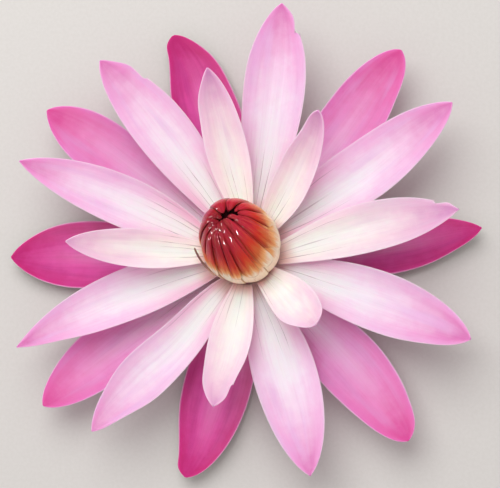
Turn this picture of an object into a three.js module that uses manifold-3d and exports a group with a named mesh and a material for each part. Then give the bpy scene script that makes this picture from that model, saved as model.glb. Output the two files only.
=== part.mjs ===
// A water lily flower, picked just below the bloom and lying face up on its sepals.
// Units are millimetres and +Z is up. The origin is the centre of the flat cut at the end of
// the flower stalk, which rests on the surface with the keels of the four sepals.
//
// Four sepals, four outer, eight middle and six inner petals grow in rising whorls round the
// receptacle. A closed dome of strap-shaped stamens sits on top and leans a little to one side.

import * as THREE from 'three';
import { mergeVertices } from 'three/addons/utils/BufferGeometryUtils.js';
import Module from 'manifold-3d';

const wasm = await Module();
wasm.setup();

// ---- Driving dimensions -------------------------------------------------------------------

// Gap between pieces that touch, so that each stays a solid of its own.
const seatGap = 0.45;

// Receptacle: radius and height of its outline, from the stalk's cut end to the flat top.
const receptacleOutline = [
  [4.5, 0],
  [4.6, 1.6],
  [7.8, 2.8],
  [9.0, 4.4],
  [9.6, 6.2],
  [10.1, 8.5],
  [10.5, 10.8],
  [10.3, 11.7],
];
const receptacleSides = 28;

// Whorls: heights of the inner face's midline at the root, at the bend's control point and at
// the tip, thickness at the midline, and how far the widest edges curl up above the midline.
const whorls = {
  sepal: { root: 4.4, sag: -2.85, tip: 6.5, thickness: 1.2, curl: 2.4, colour: '#cf3f86' },
  outer_petal: { root: 6.2, sag: 3.6, tip: 14, thickness: 0.9, curl: 2.7, colour: '#e48abf' },
  middle_petal: { root: 8.2, sag: 9.7, tip: 22, thickness: 0.9, curl: 2.8, colour: '#f3c9e2' },
  inner_petal: { root: 10.8, sag: 13, tip: 29, thickness: 0.9, curl: 2.0, colour: '#f6e6e2' },
};

// Tepals, counter-clockwise from +X, a row each:
//   root, tip    directions of the root and of the tip, in degrees
//   reach        distance of the tip from the axis
//   bow          how far the midrib bows to the left half-way out
//   half         widest half width
//   widest       place of the widest half width along the blade, 0 root to 1 tip
//   neck         share of the widest half width at the root
//   point        shape of the tip, 0.5 round to 1 pointed
//   roll         sideways tilt of the blade, in degrees
// and, where the blade needs them: lift raises its root, sag and rise replace the whorl's own
// sag and tip height, and a nick is a small tear, with its side (1 left, -1 right), its place
// along the blade and its depth.
const tepalColumns = ['root', 'tip', 'reach', 'bow', 'half', 'widest', 'neck', 'point', 'roll'];
const tepalRows = {
  sepal: [
    [2, 5.5, 78.5, -2.3, 9.9, 0.44, 0.36, 0.73, -2],
    [112, 108.5, 78, -2.6, 11.3, 0.48, 0.36, 0.62, 2],
    [182, 181, 79.5, -0.6, 11.4, 0.63, 0.36, 0.76, 0],
    [253, 255.5, 77, 2.6, 11.4, 0.51, 0.36, 0.62, 2],
  ],
  outer_petal: [
    [47, 51.5, 84, -0.7, 10.4, 0.56, 0.36, 0.58, 3],
    [149, 144.5, 81.5, -1.2, 9.6, 0.67, 0.36, 0.71, -3],
    [220, 218, 83.5, -1.4, 10.0, 0.59, 0.36, 0.66, 2],
    [301, 311, 82.5, 3.0, 10.6, 0.56, 0.33, 0.58, -2],
  ],
  middle_petal: [
    [34, 34, 83, -0.9, 10.0, 0.48, 0.32, 0.7, -3],
    [72, 80.5, 81.5, -1.1, 10.2, 0.61, 0.3, 0.83, 2,
      { lift: 0.7, nick: { side: -1, at: 0.895, depth: 1.5 } }],
    [120, 127, 78, -1.8, 9.3, 0.54, 0.3, 0.71, 4, { nick: { side: -1, at: 0.81, depth: 0.9 } }],
    [168, 158.5, 79, -1.5, 8.4, 0.45, 0.34, 0.8, -2, { lift: 0.7 }],
    [209, 204, 80, -2.3, 8.6, 0.4, 0.34, 0.87, 3],
    [247, 231.5, 76.5, -0.2, 8.6, 0.53, 0.3, 0.76, -4, { lift: 0.7 }],
    [286, 287.5, 77, 1.6, 10.5, 0.49, 0.28, 0.74, 2],
    [332, 338, 80, 1.1, 9.8, 0.54, 0.34, 0.69, 0, { lift: 0.7 }],
  ],
  inner_petal: [
    [-9, 9, 71.5, 1.5, 8.2, 0.52, 0.38, 0.85, -3,
      { sag: 12.5, rise: 26, nick: { side: 1, at: 0.895, depth: 1.2 } }],
    [45, 58.5, 50, -1.1, 6.1, 0.38, 0.5, 0.62, 4, { rise: 31 }],
    [88, 100, 58.5, 0.3, 6.9, 0.46, 0.42, 0.69, -2],
    [184, 178.5, 56, 0.3, 6.4, 0.46, 0.42, 0.71, 2, { rise: 28 }],
    [270, 262, 52, 0.1, 6.9, 0.46, 0.42, 0.62, 3, { nick: { side: 1, at: 0.87, depth: 0.9 } }],
    [311, 314, 36, 0.5, 7.2, 0.6, 0.5, 0.5, 0, { sag: 17, rise: 30 }],
  ],
};

// Blades. Shares are of a blade's length, and turns are of one wave.
const blade = {
  stepsAlong: 12,
  stepsAcross: 4,
  tipHalfWidth: 0.35,
  tipPower: 2.2,
  rimThickness: 0.6,
  nickSpread: 0.03,
  // The root wraps round the receptacle over this share, and the roll sets in over the next.
  rootHug: 0.1,
  rollOnset: 0.25,
  // The channel is this much deeper at the root than at the tip.
  rootChannel: 1.5,
  // Soft waves along the rim, out of step from blade to blade and from rim to rim.
  waveHeight: 0.45,
  waveCount: 2.3,
  waveStep: 0.37,
  waveAcross: 0.3,
};

// Stamens: the bulb that they close into, how far its foot is off the axis, and how far its
// apex leans and which way, in degrees and mm.
const bulb = {
  floor: 12.1,
  waist: 18.4,
  apex: 32.6,
  radius: 12.0,
  undercut: 12.0,
  leanDirection: 120,
  lean: 7.8,
  leanPower: 1.5,
  offCentre: [0.7, 0.45],
};
// The core inside the straps stops short of the apex, which leaves a hollow among their tips.
const core = { rings: 9, sides: 20, climb: 0.86 };
// Rings of straps, from the outside in: how many, first direction, where on the climb from the
// bulb's foot (0) to its apex (1) they start and end, half width, and height above the core.
const strapRings = [
  { count: 17, first: 4, from: 0.06, to: 0.88, half: 2.8, raise: 0.75 },
  { count: 9, first: 13, from: 0.5, to: 0.99, half: 2.0, raise: 0.55 },
  { count: 5, first: 30, from: 0.7, to: 1.06, half: 1.3, raise: 0.9 },
];
// Thickness at a strap's foot, where it is sunk into the core, and at its free tip.
const strapThickness = { foot: 1.6, tip: 0.9 };
// One edge of each strap rises over its neighbour, from the waist up, and the straps turn a
// little as they climb. Every third strap is full length and the next two are shorter.
const strap = {
  stepsAlong: 6,
  stepsAcross: 2,
  shingle: 0.5,
  shingleOnset: 0.3,
  swirl: 9,
  tipTaper: 0.72,
  taperPower: 2.2,
  shortening: 0.05,
};
// One strap has come away from the others and curls outwards, seen edge on from above.
const strayStrap = {
  root: 226,
  tip: 186,
  foot: 13.8,
  height: 6.6,
  inside: 1.0,
  outside: 14.6,
  half: 1.2,
  tipTaper: 0.6,
  thickness: 0.7,
};

// ---- Shared helpers -----------------------------------------------------------------------

const radians = THREE.MathUtils.degToRad;
const up = new THREE.Vector3(0, 0, 1);

// Point on a circle of a given radius and direction in degrees, at a height.
function polar(radius, degrees, height) {
  const angle = radians(degrees);
  return new THREE.Vector3(radius * Math.cos(angle), radius * Math.sin(angle), height);
}

// Wall radius of the receptacle at a height.
function wallRadius(height) {
  for (let i = 1; i < receptacleOutline.length; i += 1) {
    const [innerRadius, low] = receptacleOutline[i - 1];
    const [outerRadius, high] = receptacleOutline[i];
    if (height <= high) {
      return THREE.MathUtils.mapLinear(height, low, high, innerRadius, outerRadius);
    }
  }
  throw new Error(`the receptacle has no wall at height ${height}`);
}

// Unit normal of a surface(s, x), towards the side seen with s outwards and x to the left.
function surfaceNormal(surface, s, x) {
  const step = 1e-3;
  const along = surface(s + step, x).sub(surface(s - step, x));
  const across = surface(s, x + step).sub(surface(s, x - step));
  return along.cross(across).normalize();
}

// A closed sheet: the surface(s, x) over the stations s and x from -1 to 1, and a back face
// set behind it by thickness(s, x). Both faces are split into the same triangles.
function sheetGeometry(surface, stations, acrossSteps, thickness) {
  const columns = acrossSteps + 1;
  const front = [];
  const back = [];
  for (const s of stations) {
    for (let j = 0; j < columns; j += 1) {
      const x = -1 + (2 * j) / acrossSteps;
      const point = surface(s, x);
      front.push(point);
      back.push(point.clone().addScaledVector(surfaceNormal(surface, s, x), -thickness(s, x)));
    }
  }
  const backStart = front.length;
  const index = [];
  const quad = (a, b, c, d) => index.push(a, b, c, a, c, d);
  const last = stations.length - 1;
  for (let i = 0; i < last; i += 1) {
    const near = i * columns;
    const far = near + columns;
    for (let j = 0; j < acrossSteps; j += 1) {
      quad(near + j, far + j, far + j + 1, near + j + 1);
      const b = backStart;
      index.push(b + near + j, b + far + j + 1, b + far + j);
      index.push(b + near + j, b + near + j + 1, b + far + j + 1);
    }
    const left = acrossSteps;
    quad(backStart + near, backStart + far, far, near);
    quad(backStart + far + left, backStart + near + left, near + left, far + left);
  }
  for (let j = 0; j < acrossSteps; j += 1) {
    const far = last * columns + j;
    quad(backStart + j + 1, backStart + j, j, j + 1);
    quad(backStart + far, backStart + far + 1, far + 1, far);
  }
  const geometry = new THREE.BufferGeometry().setFromPoints([...front, ...back]);
  geometry.setIndex(index);
  return geometry;
}

function meshOf(name, geometry, colour, roughness) {
  const material = new THREE.MeshStandardMaterial({ color: colour, roughness, metalness: 0 });
  const mesh = new THREE.Mesh(geometry, material);
  mesh.name = name;
  return mesh;
}

// ---- Receptacle ---------------------------------------------------------------------------

function receptacleGeometry() {
  const [, top] = receptacleOutline[receptacleOutline.length - 1];
  const outline = [[0, 0], ...receptacleOutline, [0, top]];
  const points = outline.map(([radius, height]) => new THREE.Vector2(radius, height));
  const lathe = new THREE.LatheGeometry(points, receptacleSides).rotateX(Math.PI / 2);
  lathe.deleteAttribute('normal');
  lathe.deleteAttribute('uv');
  return withoutSlivers(mergeVertices(lathe, 1e-4));
}

// A lathe closes on the axis with triangles that have two corners in one place.
function withoutSlivers(geometry) {
  const corners = geometry.index.array;
  const kept = [];
  for (let i = 0; i < corners.length; i += 3) {
    const [a, b, c] = corners.slice(i, i + 3);
    if (a !== b && b !== c && c !== a) {
      kept.push(a, b, c);
    }
  }
  geometry.setIndex(kept);
  return geometry;
}

// ---- Sepals and petals --------------------------------------------------------------------

// A tepal's named dimensions, from its row and what its whorl shares.
function tepalOf(whorl, row) {
  const tepal = { lift: 0, sag: whorl.sag, rise: whorl.tip };
  tepalColumns.forEach((name, column) => {
    tepal[name] = row[column];
  });
  return Object.assign(tepal, row[tepalColumns.length]);
}

// Share of the widest half width at a place along the blade: it swells from the neck to the
// widest place and closes to the tip.
function outlineShare(tepal, s) {
  if (s < tepal.widest) {
    const swell = Math.sin((Math.PI / 2) * Math.max(s / tepal.widest, 0));
    return tepal.neck + (1 - tepal.neck) * swell;
  }
  const toTip = Math.min((s - tepal.widest) / (1 - tepal.widest), 1);
  return (1 - toTip ** blade.tipPower) ** tepal.point;
}

// Half width on one side (1 left, -1 right), with any nick on that side taken out.
function halfWidth(tepal, s, side) {
  let width = Math.max(tepal.half * outlineShare(tepal, s), blade.tipHalfWidth);
  if (tepal.nick && tepal.nick.side === side) {
    const fromNick = (s - tepal.nick.at) / (blade.nickSpread / 2);
    width -= tepal.nick.depth * Math.exp(-(fromNick ** 2));
  }
  return width;
}

// The midrib: from the root on the receptacle's wall, sagging and rising to the tip.
function midrib(whorl, tepal, s) {
  const rootHeight = whorl.root + tepal.lift;
  const root = polar(wallRadius(rootHeight) + seatGap, tepal.root, rootHeight);
  const tip = polar(tepal.reach, tepal.tip, tepal.rise);
  const control = root.clone().lerp(tip, 0.5).setZ(tepal.sag + tepal.lift);
  const outwards = tip.clone().sub(root).setZ(0).normalize();
  control.addScaledVector(up.clone().cross(outwards), 2 * tepal.bow);
  const start = root.multiplyScalar((1 - s) ** 2);
  return start.addScaledVector(control, 2 * s * (1 - s)).addScaledVector(tip, s * s);
}

// The blade's inner face. It is channelled, its rim waves softly, and its root lies on an arc
// round the receptacle.
function bladeSurface(whorl, tepal, order) {
  const channel = whorl.curl / tepal.half ** 2;
  const { rootChannel, waveHeight, waveCount, waveStep, waveAcross } = blade;
  return (s, x) => {
    const centre = midrib(whorl, tepal, s);
    const ahead = midrib(whorl, tepal, s + 1e-3).sub(centre).setZ(0).normalize();
    const left = up.clone().cross(ahead);
    const offset = x * halfWidth(tepal, s, Math.sign(x));
    const radius = Math.hypot(centre.x, centre.y);
    const turn = Math.atan2(centre.y, centre.x) + offset / radius;
    const onArc = new THREE.Vector3(radius * Math.cos(turn), radius * Math.sin(turn), centre.z);
    const hug = THREE.MathUtils.clamp(1 - s / blade.rootHug, 0, 1);
    const turns = waveCount * s + order * waveStep + (x > 0 ? waveAcross : 0);
    const wave = waveHeight * s * Math.abs(x) ** 3 * Math.sin(2 * Math.PI * turns);
    const depth = THREE.MathUtils.lerp(rootChannel, 1, s);
    const rise = channel * depth * offset ** 2 + wave * outlineShare(tepal, s);
    const rolled = Math.min(s / blade.rollOnset, 1);
    const roll = Math.tan(radians(tepal.roll)) * offset * rolled;
    return centre
      .addScaledVector(left, offset)
      .lerp(onArc, hug)
      .addScaledVector(up, rise + roll);
  };
}

// Places along the blade, closer together towards the tip and on a nick.
function bladeStations(tepal) {
  const stations = [];
  for (let i = 0; i <= blade.stepsAlong; i += 1) {
    stations.push(Math.sin(((Math.PI / 2) * i) / blade.stepsAlong));
  }
  if (!tepal.nick) {
    return stations;
  }
  const { at } = tepal.nick;
  const clear = stations.filter((s) => Math.abs(s - at) >= blade.nickSpread);
  clear.push(at - blade.nickSpread, at, at + blade.nickSpread);
  return clear.sort((a, b) => a - b);
}

function tepalMesh(whorlName, row, order) {
  const whorl = whorls[whorlName];
  const tepal = tepalOf(whorl, row);
  const surface = bladeSurface(whorl, tepal, order);
  const thickness = (s, x) => THREE.MathUtils.lerp(whorl.thickness, blade.rimThickness, x * x);
  const stations = bladeStations(tepal);
  const geometry = sheetGeometry(surface, stations, blade.stepsAcross, thickness);
  return meshOf(`${whorlName}_${order + 1}`, geometry, whorl.colour, 0.55);
}

// ---- Stamens ------------------------------------------------------------------------------

// Point on the bulb: climb runs from its foot (0) over the waist to its apex (1).
function bulbPoint(azimuth, climb, raise) {
  const footAngle = -Math.asin((bulb.waist - bulb.floor) / bulb.undercut);
  const angle = THREE.MathUtils.lerp(footAngle, Math.PI / 2, climb);
  const height = angle < 0 ? bulb.undercut : bulb.apex - bulb.waist;
  const z = bulb.waist + (height + raise) * Math.sin(angle);
  const point = polar((bulb.radius + raise) * Math.cos(angle), azimuth, z);
  const share = Math.max((z - bulb.floor) / (bulb.apex - bulb.floor), 0);
  const [rightwards, backwards] = bulb.offCentre;
  point.add(new THREE.Vector3(rightwards, backwards, 0));
  return point.add(polar(bulb.lean * share ** bulb.leanPower, bulb.leanDirection, 0));
}

// A strap lies along the bulb, crowned across, with one edge raised over its neighbour.
function strapSurface(ring, azimuth, order) {
  const to = ring.to * (1 - strap.shortening * (order % 3));
  return (s, x) => {
    const climb = THREE.MathUtils.lerp(ring.from, to, s);
    const direction = azimuth + strap.swirl * s;
    const taper = 1 - strap.tipTaper * Math.max(s, 0) ** strap.taperPower;
    const offset = x * ring.half * taper;
    const free = THREE.MathUtils.smoothstep(climb, 0, strap.shingleOnset);
    const base = bulbPoint(direction, climb, ring.raise + strap.shingle * x * free);
    const side = polar(1, direction - 90, 0);
    const inwards = polar(1, direction + 180, 0);
    const crown = offset ** 2 / (2 * bulb.radius);
    return base.addScaledVector(side, offset).addScaledVector(inwards, crown);
  };
}

function strayStrapGeometry() {
  const surface = (s, x) => {
    const direction = THREE.MathUtils.lerp(strayStrap.root, strayStrap.tip, s);
    const bulge = Math.sin((Math.PI / 2) * s);
    const radius = THREE.MathUtils.lerp(bulb.radius - strayStrap.inside, strayStrap.outside, bulge);
    const z = strayStrap.foot + strayStrap.height * s;
    const half = strayStrap.half * (1 - strayStrap.tipTaper * s ** 2);
    return polar(radius, direction, z + x * half);
  };
  const stations = evenStations(strap.stepsAlong);
  return sheetGeometry(surface, stations, strap.stepsAcross, () => strayStrap.thickness);
}

function evenStations(count) {
  return Array.from({ length: count + 1 }, (_, i) => i / count);
}

function coreGeometry() {
  const { rings, sides } = core;
  const points = [new THREE.Vector3(0, 0, bulb.floor)];
  for (let i = 0; i < rings; i += 1) {
    for (let j = 0; j < sides; j += 1) {
      points.push(bulbPoint((360 * j) / sides, (core.climb * i) / (rings - 1), 0));
    }
  }
  points.push(bulbPoint(0, 1, 0).setZ(points[points.length - 1].z));
  const index = [];
  const at = (i, j) => 1 + i * sides + (j % sides);
  for (let j = 0; j < sides; j += 1) {
    index.push(0, at(0, j + 1), at(0, j));
    index.push(points.length - 1, at(rings - 1, j), at(rings - 1, j + 1));
    for (let i = 0; i < rings - 1; i += 1) {
      index.push(at(i, j), at(i, j + 1), at(i + 1, j + 1));
      index.push(at(i, j), at(i + 1, j + 1), at(i + 1, j));
    }
  }
  const geometry = new THREE.BufferGeometry().setFromPoints(points);
  geometry.setIndex(index);
  return geometry;
}

function solidOf(geometry) {
  const vertProperties = new Float32Array(geometry.attributes.position.array);
  const triVerts = new Uint32Array(geometry.index.array);
  return new wasm.Manifold(new wasm.Mesh({ numProp: 3, vertProperties, triVerts }));
}

function geometryOf(solid) {
  const { vertProperties, triVerts } = solid.getMesh();
  const geometry = new THREE.BufferGeometry();
  geometry.setAttribute('position', new THREE.BufferAttribute(vertProperties, 3));
  geometry.setIndex(new THREE.BufferAttribute(triVerts, 1));
  return geometry;
}

// The largest shell alone, so that hollows sealed between the straps are filled.
function outerShell(solid) {
  const shells = solid.decompose();
  shells.sort((a, b) => b.volume() - a.volume());
  return shells[0];
}

function stamensMesh() {
  const stations = evenStations(strap.stepsAlong);
  let solid = solidOf(coreGeometry());
  for (const ring of strapRings) {
    for (let i = 0; i < ring.count; i += 1) {
      const azimuth = ring.first + (360 * i) / ring.count;
      const surface = strapSurface(ring, azimuth, i);
      const thickness = (s) => THREE.MathUtils.lerp(strapThickness.foot, strapThickness.tip, s);
      const sheet = sheetGeometry(surface, stations, strap.stepsAcross, thickness);
      solid = solid.add(solidOf(sheet));
    }
  }
  solid = solid.add(solidOf(strayStrapGeometry()));
  return meshOf('stamens', geometryOf(outerShell(solid)), '#c9493a', 0.35);
}

// ---- The flower ---------------------------------------------------------------------------

const flower = new THREE.Group();
flower.add(meshOf('receptacle', receptacleGeometry(), '#8a9a5a', 0.6));
for (const [whorlName, rows] of Object.entries(tepalRows)) {
  rows.forEach((row, order) => flower.add(tepalMesh(whorlName, row, order)));
}
flower.add(stamensMesh());

export default flower;
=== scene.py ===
"""A water lily flower, picked just below the bloom and lying face up: it rests on the cut end
of its stalk, and its sepals all but touch the surface.

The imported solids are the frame, and finer pieces of the same form stand for them: the sepals
and petals are channelled blades, the stamens a closed dome of single straps, and the
receptacle a turned body that ends in the stalk's cut face.
The flower's own sizes are in millimetres and become metres where a mesh is made. What a user
may change, the lights and the floor are in metres.
"""

import math
from dataclasses import dataclass, replace

import bmesh
import bpy
from mathutils import Matrix, Vector


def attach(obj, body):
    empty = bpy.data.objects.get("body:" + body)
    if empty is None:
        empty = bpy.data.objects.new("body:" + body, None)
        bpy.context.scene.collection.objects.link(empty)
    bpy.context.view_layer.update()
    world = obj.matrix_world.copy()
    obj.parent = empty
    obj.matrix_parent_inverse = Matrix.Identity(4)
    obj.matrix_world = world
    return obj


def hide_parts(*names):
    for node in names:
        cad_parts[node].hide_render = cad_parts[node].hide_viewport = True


bl_info = {
    "name": "Water Lily Flower",
    "version": (1, 0, 0),
    "blender": (4, 5, 0),
    "location": "View3D > Sidebar > Water Lily",
    "description": "Builds the sepals, petals, stamens and receptacle of a water lily flower",
    "category": "Add Mesh",
}

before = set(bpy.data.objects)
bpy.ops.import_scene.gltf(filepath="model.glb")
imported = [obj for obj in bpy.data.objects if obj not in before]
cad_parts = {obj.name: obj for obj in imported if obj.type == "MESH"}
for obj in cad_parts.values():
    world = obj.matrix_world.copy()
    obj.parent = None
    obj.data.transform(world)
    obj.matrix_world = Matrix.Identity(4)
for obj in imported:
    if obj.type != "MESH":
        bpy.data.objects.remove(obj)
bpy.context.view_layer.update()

MM = 0.001
BODY = "root"

# ---- The flower's own sizes ----------------------------------------------------------------

# Receptacle: radius and height of its outline, from the stalk's cut end to the flat top.
RECEPTACLE_OUTLINE = (
    (4.5, 0.0),
    (4.6, 1.6),
    (7.8, 2.8),
    (9.0, 4.4),
    (9.6, 6.2),
    (10.1, 8.5),
    (10.5, 10.8),
    (10.3, 11.7),
)
# The blades' inner faces start this far outside the wall.
SEAT_GAP = 0.45
RECEPTACLE_SIDES = 32
TOP_INSET = 0.5
CUT_INSET = 0.35
EDGE_BEVEL = 0.25
# Faces that meet at less than this, in degrees, are shaded as one.
SMOOTH_ANGLE = 40
# Air canals in the cut end: how many, radius of their ring, radius of a canal and direction of
# the first. The rods that bore them stand half inside the stalk.
CANALS = ((4, 1.25, 0.55, 45), (8, 2.9, 0.3, 22.5))
CANAL_ROD = 3
CANAL_SIDES = 14


@dataclass
class Whorl:
    """What the tepals of one whorl share: heights of the midline, and how far the rims curl up."""

    root: float
    sag: float
    tip: float
    curl: float


@dataclass
class Tepal:
    """One sepal or petal. Angles are in degrees, lengths in millimetres, and places along the
    blade run from its root (0) to its tip (1)."""

    # Directions of the root and the tip from the axis, and how far out the tip reaches.
    root: float
    tip: float
    reach: float
    # How far the middle bows anticlockwise, and the greatest half width.
    bow: float
    half: float
    # Where it is widest, how wide its root is as a share of that, and how slowly the tip closes:
    # a smaller figure is blunter.
    widest: float
    neck: float
    point: float
    # How far the blade is rolled about its length.
    roll: float
    # How far it is raised, and its own heights in place of the whorl's.
    lift: float = 0.0
    sag: float = None
    rise: float = None
    # A small tear in the rim: its side (1 left, -1 right), place along the blade and depth.
    nick: tuple = None
    # Flats in the outline: side, place along the blade, depth (below 0 it swells instead), and
    # how far along they spread.
    flats: tuple = ()
    # Creases in the face: place across (-1 to 1) and along the blade, height and spread.
    creases: tuple = ()
    # How much further back than in its whorl the tip's colour reaches.
    flush: float = 0.0


WHORLS = {
    "sepal": Whorl(4.4, -2.85, 6.5, 2.4),
    "outer_petal": Whorl(6.2, 3.6, 14.0, 2.7),
    "middle_petal": Whorl(8.2, 9.5, 22.0, 2.8),
    "inner_petal": Whorl(10.8, 13.0, 29.0, 2.0),
}
TEPALS = {
    "sepal": (
        Tepal(
            2, 5.5, 78.5, -2.3, 9.9, 0.44, 0.36, 0.73, -2,
            flats=((-1, 0.85, 0.5, 12),),
        ),
        Tepal(
            112, 108.5, 78, -2.6, 11.3, 0.48, 0.36, 0.62, 2,
            flush=0.04, flats=((1, 0.86, 1.0, 13), (1, 0.98, -1.0, 5), (-1, 0.8, -0.8, 14)),
        ),
        Tepal(182, 181, 79.5, -0.6, 11.4, 0.63, 0.36, 0.76, 0),
        Tepal(
            253, 255.5, 77, 2.6, 11.4, 0.51, 0.36, 0.62, 2,
            flats=((-1, 0.84, 1.2, 14), (-1, 0.98, -0.9, 4.5)),
        ),
    ),
    "outer_petal": (
        Tepal(
            47, 51.5, 84, -0.7, 10.4, 0.56, 0.36, 0.58, 3,
            flush=0.04, flats=((-1, 0.8, 0.6, 12), (1, 0.5, 0.5, 18)),
        ),
        Tepal(149, 144.5, 81.5, -1.2, 9.6, 0.67, 0.36, 0.71, -3),
        Tepal(220, 218, 83.5, -1.4, 10.0, 0.59, 0.36, 0.66, 2, flush=-0.03),
        Tepal(
            301, 311, 82.5, 3.0, 10.6, 0.56, 0.33, 0.58, -2,
            flats=((-1, 0.5, -0.8, 20), (1, 0.4, 0.8, 16), (1, 0.95, -0.6, 8)),
        ),
    ),
    "middle_petal": (
        Tepal(
            34, 34, 83, -0.9, 10.0, 0.48, 0.32, 0.7, -3,
            flush=0.04, flats=((1, 0.5, 0.8, 24), (-1, 0.55, -0.8, 24)),
        ),
        Tepal(
            72, 80.5, 81.5, -1.1, 10.2, 0.61, 0.3, 0.74, 2, lift=0.7, nick=(-1, 0.87, 1.9),
            flats=((-1, 0.935, -0.3, 6), (-1, 0.84, 0.5, 4)),
        ),
        Tepal(
            120, 127, 78, -1.8, 9.3, 0.54, 0.3, 0.71, 4,
            nick=(-1, 0.797, 1.0), flats=((-1, 0.9, -0.9, 6),),
            creases=((-0.35, 0.9, 0.7, 3), (-0.6, 0.86, -0.5, 2.5)),
        ),
        Tepal(168, 158.5, 79, -1.5, 8.4, 0.45, 0.34, 0.8, -2, lift=0.7),
        Tepal(209, 204, 80, -2.3, 8.6, 0.4, 0.34, 0.87, 3, flats=((1, 0.8, 0.5, 12),)),
        Tepal(
            247, 231.5, 76.5, -0.2, 8.6, 0.53, 0.3, 0.76, -4,
            lift=0.7, flush=-0.05, flats=((1, 0.86, 1.2, 14), (-1, 0.38, 2.0, 22)),
        ),
        Tepal(286, 287.5, 77, 1.6, 10.5, 0.49, 0.28, 0.74, 2),
        Tepal(
            332, 338, 80, 1.1, 9.8, 0.54, 0.34, 0.69, 0,
            lift=0.7, flush=0.05, flats=((-1, 0.8, 0.4, 12),),
        ),
    ),
    "inner_petal": (
        Tepal(
            -9, 9, 71.5, 1.5, 8.2, 0.52, 0.38, 0.85, -3,
            sag=12.5, rise=26, nick=(1, 0.885, 1.2), flush=0.05, flats=((1, 0.95, -0.7, 3.5),),
        ),
        Tepal(
            45, 58.5, 50, -1.1, 6.1, 0.38, 0.5, 0.52, 4,
            rise=31, flats=((1, 0.8, 1.0, 10),),
        ),
        Tepal(88, 100, 58.5, 0.3, 6.9, 0.46, 0.42, 0.69, -2, flats=((1, 0.8, -0.6, 8),)),
        Tepal(184, 178.5, 56, 0.3, 6.4, 0.46, 0.42, 0.71, 2, rise=28, flush=-0.08),
        Tepal(
            270, 262, 52, 0.1, 6.9, 0.46, 0.42, 0.62, 3,
            nick=(1, 0.81, 0.7), flush=-0.06, flats=((1, 0.76, 0.8, 9), (-1, 0.85, -0.6, 8)),
        ),
        Tepal(
            311, 314, 36, 0.5, 7.2, 0.6, 0.5, 0.5, 0,
            sag=17, rise=30, flush=-0.15, flats=((-1, 0.88, 1.3, 9), (1, 0.92, -0.4, 5)),
        ),
    ),
}

# A short step along a curve, to find its direction.
STEP = 1e-3

# Blades. Shares are of a blade's length, and turns are of one wave along its rim.
BLADE_BLANK_HALF = 40.0
TIP_HALF_WIDTH = 0.35
TIP_POWER = 2.2
ROOT_HUG = 0.1
ROLL_ONSET = 0.25
ROOT_CHANNEL = 1.5
WAVE_COUNT = 2.3
WAVE_STEP = 0.37
WAVE_ACROSS = 0.3
RUFFLE_SPREAD = 9
RUFFLED = (0.25, 0.95)
# The higher, the further out a blade keeps its full thickness.
WALL_POWER = 3
# A nick: how far it reaches over the first columns of points from the rim, how it runs out
# over the next rows, and how close the rows on its two sides are drawn together.
NICK_REACH = (1, 0.55, 0.2)
NICK_RETURN = (1, 0.35, 0)
NICK_SQUEEZE = 0.92

# Stamens: the bulb that they close into, how far its foot is off the axis, and its lean.
BULB_FLOOR = 12.1
BULB_WAIST = 18.4
BULB_APEX = 32.6
BULB_RADIUS = 12.0
BULB_UNDERCUT = 12.0
BULB_OFF_CENTRE = Vector((0.7, 0.45, 0.0))
BULB_LEAN = 7.8
BULB_LEAN_DIRECTION = 120
BULB_LEAN_POWER = 1.5
# The straps draw together along a short line beside the apex, from one end to the other.
MEETING_NEAR = Vector((1.1, 2.7, 0.0))
MEETING_FAR = Vector((-2.7, 0.1, 0.0))
MEETING_DIRECTION = 216
MEETING_ONSET = 0.5


@dataclass
class Strap:
    """One strap of the dome. Its direction, half breadth and the turn that it makes on its way
    up are in degrees round the bulb, start and end are climbs, and height is in millimetres."""

    azimuth: float
    half: float
    turn: float
    start: float
    end: float
    height: float
    # How far its anticlockwise edge stands above its other edge.
    lap: float = 0.5


# The broad outer straps differ in breadth and in where they end, along a slit beside the apex.
TONGUES = (
    Strap(355, 18, -17, 0.25, 0.92, 1.1),
    Strap(323, 14, -13, 0.31, 0.97, 1.0),
    Strap(293, 15, -12, 0.31, 0.98, 1.1),
    Strap(269.5, 8, -2, 0.33, 0.9, 1.25, 0.0),
    Strap(251, 12, -3, 0.24, 0.95, 0.9),
    Strap(228, 12.5, -8, 0.26, 0.87, 1.1),
    Strap(203, 13, -6, 0.24, 0.95, 0.9),
    Strap(177, 14, -6, 0.27, 0.94, 1.1, 0.3),
    Strap(149, 20, 0, 0.25, 0.99, 1.0, 0.2),
    Strap(115, 23, 0, 0.27, 0.96, 1.35, 0.0),
    Strap(80, 21, 2, 0.26, 0.94, 1.1, 0.1),
    Strap(50, 16, -2, 0.24, 0.86, 0.9, 0.2),
    Strap(25, 12.5, -10, 0.27, 0.87, 1.0),
)
COLLAR_STRAPS = 9
COLLAR_STRAP = Strap(12, 24, 0, 0.0, 0.52, 0.95, 0.5)
# One strap of the collar stands off the others.
PEELED_STRAP = Strap(224, 18, -10, 0.03, 0.5, 1.3, 0.4)
# A deeper strap shows in each gap between the tongues, and short tips crowd round one side of
# the apex.
GAP_STRAP = Strap(0, 10, -8, 0.3, 0.9, 0.2, 0.0)
APEX_STRAPS = 6
APEX_STRAP = Strap(165, 12, -20, 0.66, 0.99, 0.6, 0.3)
APEX_SPREAD = 190
STRAP_BLANK_HALF = 10.0
STRAP_NARROWING = 0.16
STRAP_END_ROUNDING = 0.09
STRAP_END_SHARE = 0.3
STRAP_TIP_HALF = 0.9
STRAP_TUCK = 1.0
STRAP_TUCK_ONSET = 0.78
STRAP_CROWN = 0.1
STRAP_WALL = 0.9

# The flesh inside: how far up the bulb it goes, and its height against the bulb.
CORE_CLIMB = 0.78
CORE_HEIGHT = -0.9
CORE_RINGS = 14
CORE_SIDES = 32

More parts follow.
